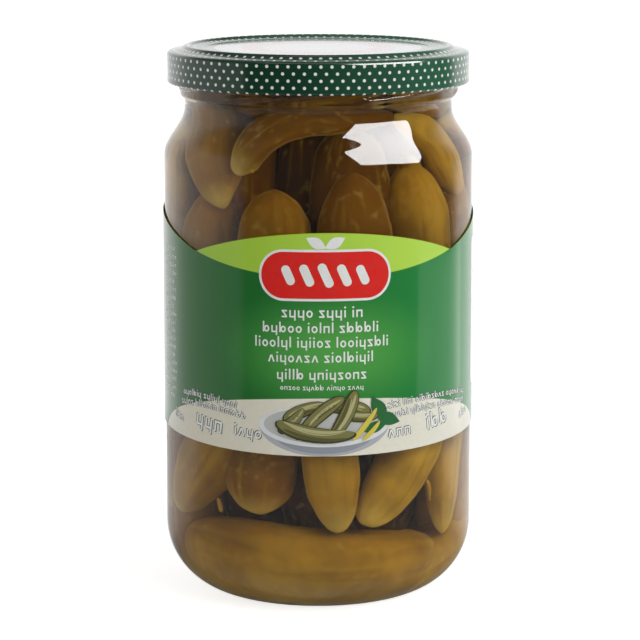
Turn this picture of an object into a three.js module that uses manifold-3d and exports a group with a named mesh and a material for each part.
// A tall glass jar of whole pickled cucumbers, shut with a printed twist-off lid and wrapped in a
// shaped label. Millimetres, +Z up. The origin is the middle of the base, on the surface that the jar
// stands on, and the middle of the label faces -Y.
//
// Four pieces: the glass jar, the steel lid, the wrap-round label, and the heap of cucumbers.

import * as THREE from "three";
import { mergeVertices } from "three/addons/utils/BufferGeometryUtils.js";
import Module from "manifold-3d";

const wasm = await Module();
wasm.setup();

// Glass jar: a 720 ml jar with an 82 mm twist-off finish
const BODY_RADIUS = 44.3;
const WALL = 2.6;
const BASE_THICKNESS = 4.2;
const HEEL_RADIUS = 20.8;
const PUSH_UP = 1.6;
const FOOT_WIDTH = 3.0;
const SHOULDER_START = 127.6;
const SHOULDER_END = 141.2;
const NECK_RADIUS = 38.4;
const BEAD_RADIUS = 39.6;
const BEAD_BOTTOM = 144.2;
const BEAD_TOP = 149.4;
const FINISH_RADIUS = 38.6;
const RIM_TOP = 156.9;
const RIM_ROUND = 1.1;
const MOUTH_RADIUS = 35.8;

// The six thread ribs that the lid's lugs run under
const THREADS = 6;
const THREAD_START = 145.6;
const THREAD_RISE = 3.4;
const THREAD_SPAN = 58;
const THREAD_HALF_WIDTH = 1.3;
const THREAD_HEIGHT = 0.9;
const THREAD_FIRST_ANGLE = 12;

// Twist-off lid, pressed from thin steel sheet with a curled lower edge
const LID_RADIUS = 43.3;
const LID_BOTTOM = 148.1;
const LID_SHOULDER = 157.1;
const LID_TOP = 158.9;
const LID_SHEET = 0.55;
const RING_RADIUS = 37.6;
const RING_HALF_WIDTH = 1.5;
const PANEL_HEIGHT = 157.95;
const PANEL_RADIUS = 34.6;
const CURL_RADIUS = 0.75;

// Label: its lower edge is almost level, and its upper edge dips where the front lens meets the wings
const LABEL_GAP = 0.25;
const LABEL_THICKNESS = 0.2;
const LABEL_FRONT_TOP = 110.5;
const LABEL_DIP_ANGLE = 53.2;
const LABEL_DIP_HEIGHT = 103.2;
const LABEL_WING_SLOPE = 0.26;
const LABEL_BACK_TOP = 114;
const LABEL_BOTTOM = 47.8;
const LABEL_BOTTOM_RISE = 2.5;
const LABEL_LENS_ANGLE = 80;

// Smoothness of the round pieces
const JAR_SIDES = 50;
const LID_SIDES = 56;
const LABEL_SIDES = 120;

// The cucumbers stay this far inside the glass
const HEAP_GAP = 0.45;
const PICKLE_SIDES = 8;
const ROOM_SIDES = 40;
const PICKLE_RINGS = 7;

const radians = THREE.MathUtils.degToRad;
const smooth = (t) => t * t * (3 - 2 * t);
const clamp01 = (t) => Math.min(1, Math.max(0, t));

// A point of the jar by its angle from the front, its distance from the axis and its height.
function place(angle, distance, height) {
  const turn = radians(angle);
  return new THREE.Vector3(distance * Math.sin(turn), -distance * Math.cos(turn), height);
}

// Points of an arc in the profile plane, from one angle to another in degrees.
function arc(centreX, centreZ, radius, from, to, steps) {
  const points = [];
  for (let i = 0; i <= steps; i++) {
    const turn = radians(from + ((to - from) * i) / steps);
    points.push([centreX + radius * Math.cos(turn), centreZ + radius * Math.sin(turn)]);
  }
  return points;
}

// Radius of the outer shoulder at a height: an even S from the body to the neck.
function shoulderRadius(height) {
  const t = clamp01((height - SHOULDER_START) / (SHOULDER_END - SHOULDER_START));
  return BODY_RADIUS + (NECK_RADIUS - BODY_RADIUS) * (0.5 - 0.5 * Math.cos(Math.PI * t));
}

function shoulderPoints(offset, endRadius, steps) {
  const points = [];
  for (let i = 0; i <= steps; i++) {
    const height = SHOULDER_START + ((SHOULDER_END - SHOULDER_START) * i) / steps;
    const wanted = shoulderRadius(height) - offset;
    const blend = smooth(i / steps);
    points.push([wanted + (endRadius - NECK_RADIUS + offset) * blend, height]);
  }
  return points;
}

// How far a thread rib stands out of the finish at an angle in degrees and a height.
function threadStand(angle, height) {
  const step = 360 / THREADS;
  const along = (((angle - THREAD_FIRST_ANGLE) % step) + step) % step;
  const share = along / THREAD_SPAN;
  if (share > 1) return 0;
  const centre = THREAD_START + THREAD_RISE * share;
  const across = Math.abs(height - centre) / THREAD_HALF_WIDTH;
  if (across >= 1) return 0;
  const ends = smooth(clamp01(Math.min(share, 1 - share) * 7));
  return THREAD_HEIGHT * ends * (1 - across * across);
}

// The glass profile, outside from the base's middle up to the rim and back down inside.
function glassProfile() {
  const footInner = BODY_RADIUS - HEEL_RADIUS - FOOT_WIDTH;
  const bead = (BEAD_TOP - BEAD_BOTTOM) / 2;
  const outside = [
    [0, PUSH_UP],
    [footInner * 0.6, PUSH_UP * 0.75],
    [footInner, 0],
    ...arc(BODY_RADIUS - HEEL_RADIUS, HEEL_RADIUS, HEEL_RADIUS, -90, 0, 8),
    ...shoulderPoints(0, NECK_RADIUS, 7),
    [NECK_RADIUS, BEAD_BOTTOM],
    [BEAD_RADIUS, BEAD_BOTTOM + 0.25 * bead],
    [BEAD_RADIUS, BEAD_TOP - 0.3 * bead],
    [FINISH_RADIUS, BEAD_TOP + 0.3],
    ...arc(FINISH_RADIUS - RIM_ROUND, RIM_TOP - RIM_ROUND, RIM_ROUND, 0, 90, 3),
  ];
  return [...outside, ...cavityProfile(0).reverse()];
}

// The profile of the space inside the glass, from the middle of its floor to the rim.
function cavityProfile(inset) {
  const bore = BODY_RADIUS - WALL;
  const heel = HEEL_RADIUS - WALL;
  const lift = BASE_THICKNESS - WALL;
  return [
    [0, BASE_THICKNESS + inset],
    ...arc(BODY_RADIUS - HEEL_RADIUS, HEEL_RADIUS, heel - inset, -90, 0, 6)
      .map(([r, z]) => [r, z + lift * (1 - z / HEEL_RADIUS)]),
    ...shoulderPoints(WALL + inset, MOUTH_RADIUS - inset, 6)
      .filter(([r]) => r <= bore),
    [MOUTH_RADIUS - inset, RIM_TOP - RIM_ROUND],
    [MOUTH_RADIUS - inset + 0.6, RIM_TOP],
  ];
}

// Turns a profile of [radius, height] round the Z axis.
function turned(profile, sides) {
  const points = profile.map(([r, z]) => new THREE.Vector2(r, z));
  const geometry = new THREE.LatheGeometry(points, sides);
  // LatheGeometry turns round Y, and the jar stands along Z
  return geometry.rotateX(Math.PI / 2);
}

// Drops normals and UVs and merges shared vertices, so that the mesh is one closed surface.
function closed(geometry) {
  const bare = geometry.index ? geometry.toNonIndexed() : geometry.clone();
  bare.deleteAttribute("normal");
  bare.deleteAttribute("uv");
  return mergeVertices(bare, 1e-4);
}

function toSolid(geometry) {
  const merged = closed(geometry);
  const solid = new wasm.Manifold(
    new wasm.Mesh({
      numProp: 3,
      vertProperties: merged.attributes.position.array,
      triVerts: new Uint32Array(merged.index.array),
    }),
  );
  return solid;
}

function toGeometry(solid) {
  const mesh = solid.getMesh();
  const positions = new Float32Array(mesh.numVert * 3);
  for (let i = 0; i < mesh.numVert; i++) {
    const from = i * mesh.numProp;
    positions.set(mesh.vertProperties.subarray(from, from + 3), i * 3);
  }
  return new THREE.BufferGeometry()
    .setAttribute("position", new THREE.BufferAttribute(positions, 3))
    .setIndex(new THREE.BufferAttribute(mesh.triVerts, 1));
}

// The finish between the bead and the rim needs rows close enough together to carry the thread ribs.
function withThreadRows(profile) {
  const rows = [];
  const lowest = BEAD_TOP + 0.3;
  const highest = RIM_TOP - RIM_ROUND;
  const count = 4;
  for (const point of profile) {
    rows.push(point);
    if (point[0] === FINISH_RADIUS && Math.abs(point[1] - lowest) < 1e-6) {
      for (let i = 1; i < count; i++) {
        rows.push([FINISH_RADIUS, lowest + ((highest - lowest) * i) / count]);
      }
    }
  }
  return rows;
}

function glassJar() {
  const geometry = closed(turned(withThreadRows(glassProfile()), JAR_SIDES));
  const position = geometry.getAttribute("position");
  for (let i = 0; i < position.count; i++) {
    const x = position.getX(i);
    const y = position.getY(i);
    const z = position.getZ(i);
    const radius = Math.hypot(x, y);
    if (radius < NECK_RADIUS - 0.5 || z < BEAD_BOTTOM || z > RIM_TOP - RIM_ROUND) continue;
    const angle = THREE.MathUtils.radToDeg(Math.atan2(x, -y));
    const grown = Math.max(radius, FINISH_RADIUS + threadStand(angle, z)) / radius;
    position.setXY(i, x * grown, y * grown);
  }
  return geometry;
}

// The lid's outer face from the middle of its panel to the curl, then the inner face back.
function lidProfile() {
  const slope = LID_RADIUS - RING_RADIUS - RING_HALF_WIDTH;
  const corner = 1.1;
  const curl = CURL_RADIUS;
  const curlCentre = LID_RADIUS - curl;
  const ring = arc(RING_RADIUS, LID_TOP - RING_HALF_WIDTH, RING_HALF_WIDTH, 135, 45, 4);
  const outer = [
    [0, PANEL_HEIGHT],
    [PANEL_RADIUS, PANEL_HEIGHT],
    ...ring,
    [RING_RADIUS + RING_HALF_WIDTH + 0.45 * slope, LID_SHOULDER + 0.35],
    ...arc(LID_RADIUS - corner, LID_SHOULDER - corner, corner, 70, 0, 3),
    ...arc(curlCentre, LID_BOTTOM + curl, curl, 0, -180, 4),
    [curlCentre - curl, LID_BOTTOM + 2 * curl],
  ];
  const under = [
    [LID_RADIUS - LID_SHEET - curl, LID_BOTTOM + 2 * curl + 0.6],
    [LID_RADIUS - LID_SHEET, LID_BOTTOM + 2 * curl + 1.4],
    [LID_RADIUS - LID_SHEET, LID_SHOULDER - corner],
    [LID_RADIUS - corner, LID_SHOULDER - LID_SHEET],
    [RING_RADIUS + RING_HALF_WIDTH, PANEL_HEIGHT - LID_SHEET + 0.2],
    [PANEL_RADIUS, PANEL_HEIGHT - LID_SHEET],
    [0, PANEL_HEIGHT - LID_SHEET],
  ];
  return [...outer, ...under];
}

function twistLid() {
  return closed(turned(lidProfile().reverse(), LID_SIDES));
}

// Height of the label's upper edge at an angle from the front, in degrees.
function labelTop(angle) {
  const away = Math.abs(angle);
  if (away <= LABEL_DIP_ANGLE) {
    const share = away / LABEL_DIP_ANGLE;
    return LABEL_FRONT_TOP + (LABEL_DIP_HEIGHT - LABEL_FRONT_TOP) * share * share;
  }
  const rising = LABEL_DIP_HEIGHT + LABEL_WING_SLOPE * (away - LABEL_DIP_ANGLE);
  // A soft minimum levels the wings off round the back
  const softness = 2.2;
  const gap = (rising - LABEL_BACK_TOP) / softness;
  return LABEL_BACK_TOP - softness * Math.log1p(Math.exp(-gap));
}

function labelBottom(angle) {
  const share = Math.min(Math.abs(angle) / LABEL_LENS_ANGLE, 1);
  return LABEL_BOTTOM + LABEL_BOTTOM_RISE * share * share;
}

// A thin ring whose two edges follow the label's outline. Its front point is a vertex, as the glass's is.
function label() {
  const inner = BODY_RADIUS + LABEL_GAP;
  const outer = inner + LABEL_THICKNESS;
  const positions = [];
  const faces = [];
  for (let i = 0; i < LABEL_SIDES; i++) {
    const angle = -180 + (360 * i) / LABEL_SIDES;
    const low = labelBottom(angle);
    const high = labelTop(angle);
    for (const [radius, height] of [[outer, low], [outer, high], [inner, high], [inner, low]]) {
      positions.push(...place(angle, radius, height).toArray());
    }
    const here = i * 4;
    const next = ((i + 1) % LABEL_SIDES) * 4;
    for (let side = 0; side < 4; side++) {
      const other = (side + 1) % 4;
      faces.push(here + side, next + side, next + other, here + side, next + other, here + other);
    }
  }
  return new THREE.BufferGeometry()
    .setAttribute("position", new THREE.Float32BufferAttribute(positions, 3))
    .setIndex(faces);
}

// Share of the full width at a share of the length. Each end is blunt at 0 and pointed at 1.
function swell(share, points) {
  const point = points[share < 0.5 ? 0 : 1];
  return (1 - Math.abs(2 * share - 1) ** (3 - 1.2 * point)) ** (0.5 + 0.22 * point);
}

// A whole cucumber: a lathe shape with two rounded ends, bent along a line through three places.
function cucumber({ from, by, to, thick, points }) {
  const line = new THREE.CatmullRomCurve3([place(...from), place(...by), place(...to)]);
  const length = line.getLength();
  const frames = line.computeFrenetFrames(80);
  const outline = [];
  for (let i = 0; i <= PICKLE_RINGS; i++) {
    // Rings crowd towards the ends, where the shape turns
    const share = 0.5 - 0.5 * Math.cos((Math.PI * i) / PICKLE_RINGS);
    const radius = i % PICKLE_RINGS === 0 ? 0 : (thick / 2) * swell(share, points);
    outline.push(new THREE.Vector2(radius, share * length));
  }
  const geometry = new THREE.LatheGeometry(outline, PICKLE_SIDES);
  const position = geometry.getAttribute("position");
  for (let i = 0; i < position.count; i++) {
    const share = clamp01(position.getY(i) / length);
    const frame = Math.round(share * 80);
    const point = line
      .getPointAt(share)
      .addScaledVector(frames.normals[frame], position.getX(i))
      .addScaledVector(frames.binormals[frame], -position.getZ(i));
    position.setXYZ(i, point.x, point.y, point.z);
  }
  return geometry;
}

// Each place is the angle from the front in degrees, the distance from the axis and the height.
// The front ones stand where they are seen through the glass. The back ones continue the same packing.
const BOTTOM_LAYER = [
  { from: [76, 30.6, 13.8], by: [-8, 30.2, 13.2], to: [-88, 29.6, 17.5], thick: 22.5, points: [0.35, 0] },
  { from: [124, 29, 17], by: [76, 29.5, 12], to: [44, 27, 8], thick: 20, points: [0.2, 0.6] },
  { from: [110, 28, 16], by: [176, 30, 15], to: [240, 28, 17], thick: 20.5, points: [0.3, 0.3] },
];
const LOWER_TIER = [
  { from: [-86, 33.6, 25.8], by: [-55, 33.2, 46], to: [-20, 30, 70], thick: 18, points: [0.15, 0.3] },
  { from: [-33, 30.2, 28.4], by: [-31, 29.8, 48], to: [-26, 28.5, 70], thick: 20, points: [0, 0.3] },
  { from: [6, 33.4, 23.8], by: [2, 33.6, 48], to: [-3, 32, 84], thick: 15, points: [0.05, 0.3] },
  { from: [17, 33.4, 26], by: [43, 33.6, 46], to: [66, 32.3, 70], thick: 16.6, points: [0, 0.3] },
  { from: [62, 35, 19.2], by: [67, 34.4, 50], to: [80, 32.6, 82], thick: 13.6, points: [0.45, 0.3] },
  { from: [102, 33, 20], by: [106, 33, 50], to: [112, 32, 86], thick: 17.4, points: [0.3, 0.3] },
  { from: [136, 32, 22], by: [140, 32, 50], to: [148, 32, 81], thick: 19.4, points: [0.4, 0.2] },
  { from: [176, 32, 24], by: [174, 32, 50], to: [180, 32, 80], thick: 19, points: [0.2, 0.4] },
  { from: [-144, 32, 22], by: [-150, 32, 52], to: [-154, 32, 84], thick: 18.6, points: [0.3, 0.3] },
  { from: [-108, 32, 22], by: [-114, 32, 50], to: [-120, 32, 82], thick: 18.8, points: [0.4, 0.2] },
];
const UPPER_TIER = [
  { from: [-72, 32, 72], by: [-64, 32, 96], to: [-58, 31, 119], thick: 20, points: [0.2, 0.3] },
  { from: [-22, 32, 66], by: [-25, 31.4, 92], to: [-24, 30.4, 120.8], thick: 21.4, points: [0.2, 0.1] },
  { from: [14, 32, 64], by: [16, 32, 94], to: [12, 31, 126], thick: 20.6, points: [0.2, 0.25] },
  { from: [46, 32, 68], by: [51, 32, 98], to: [42, 30.8, 127], thick: 20.2, points: [0.2, 0.1] },
  { from: [92, 32, 70], by: [84, 32, 98], to: [78, 31.4, 122], thick: 16.4, points: [0.3, 0.3] },
  { from: [118, 32, 66], by: [116, 32, 94], to: [112, 31, 126], thick: 19, points: [0.2, 0.4] },
  { from: [156, 32, 66], by: [150, 32, 94], to: [148, 31, 122], thick: 19.6, points: [0.4, 0.2] },
  { from: [-174, 32, 66], by: [-176, 32, 94], to: [-178, 31, 127], thick: 18.6, points: [0.3, 0.6] },
  { from: [-136, 32, 68], by: [-140, 32, 94], to: [-144, 31, 121], thick: 19.4, points: [0.2, 0.2] },
  { from: [-96, 32.6, 66], by: [-98, 33, 94], to: [-92, 33, 128], thick: 16.6, points: [0.3, 0.4] },
];
const TOP_LAYER = [
  { from: [-47.5, 34.8, 115.4], by: [-61, 31.6, 133], to: [-78, 24, 150], thick: 17.4, points: [0.8, 0.2] },
  { from: [-41, 34.8, 125.4], by: [-16, 30.4, 139], to: [42, 28, 140], thick: 12.8, points: [0, 0.3] },
  { from: [22, 23.4, 90], by: [19, 23.4, 112], to: [18, 22.2, 136], thick: 20.4, points: [0.2, 0.3] },
  { from: [38, 28, 141], by: [61, 32.4, 131], to: [80, 33.4, 115], thick: 10.8, points: [0.3, 0.6] },
  { from: [34, 28, 148], by: [0, 27.6, 146.4], to: [-28, 31.4, 143.4], thick: 9.6, points: [0.3, 0.1] },
  { from: [36, 26, 149], by: [60, 28.5, 145], to: [92, 27, 141], thick: 12, points: [0.3, 0.3] },
  { from: [82, 28, 136], by: [112, 30, 131], to: [150, 27, 140], thick: 15, points: [0.3, 0.3] },
  { from: [150, 27, 134], by: [185, 28, 137], to: [222, 26, 135], thick: 17, points: [0.3, 0.3] },
  { from: [-88, 30, 132], by: [-112, 30, 131], to: [-144, 27, 140], thick: 16, points: [0.3, 0.3] },
];
const CORE_RADIUS = 25.5;
const CORE_BOTTOM = 8;
const CORE_TOP = 140;

// The heap is one piece: a plain core, with every cucumber that touches the glass fused on.
function cucumberHeap() {
  const core = turned(
    [
      [0, CORE_BOTTOM],
      [CORE_RADIUS * 0.8, CORE_BOTTOM],
      [CORE_RADIUS, CORE_BOTTOM + 10],
      [CORE_RADIUS, CORE_TOP - 14],
      [CORE_RADIUS * 0.7, CORE_TOP],
      [0, CORE_TOP],
    ],
    24,
  );
  let heap = toSolid(core);
  for (const shape of [...BOTTOM_LAYER, ...LOWER_TIER, ...UPPER_TIER, ...TOP_LAYER]) {
    heap = heap.add(toSolid(cucumber(shape)));
  }
  const room = toSolid(turned(cavityProfile(HEAP_GAP).concat([[0, RIM_TOP]]), ROOM_SIDES));
  return toGeometry(heap.intersect(room));
}

const MATERIALS = {
  glass: new THREE.MeshStandardMaterial({
    color: 0xe6efe9, roughness: 0.05, metalness: 0, transparent: true, opacity: 0.3,
  }),
  lid: new THREE.MeshStandardMaterial({ color: 0x1f4a38, roughness: 0.3, metalness: 0.2 }),
  label: new THREE.MeshStandardMaterial({ color: 0x2a7a3c, roughness: 0.4, metalness: 0 }),
  cucumber: new THREE.MeshStandardMaterial({ color: 0x80641f, roughness: 0.35, metalness: 0 }),
};

function piece(name, geometry, material) {
  geometry.computeVertexNormals();
  const mesh = new THREE.Mesh(geometry, material);
  mesh.name = name;
  return mesh;
}

const pickleJar = new THREE.Group();
pickleJar.name = "pickle_jar";
pickleJar.add(
  piece("glass_jar", glassJar(), MATERIALS.glass),
  piece("twist_lid", twistLid(), MATERIALS.lid),
  piece("wrap_label", label(), MATERIALS.label),
  piece("cucumbers", cucumberHeap(), MATERIALS.cucumber),
);

export default pickleJar;
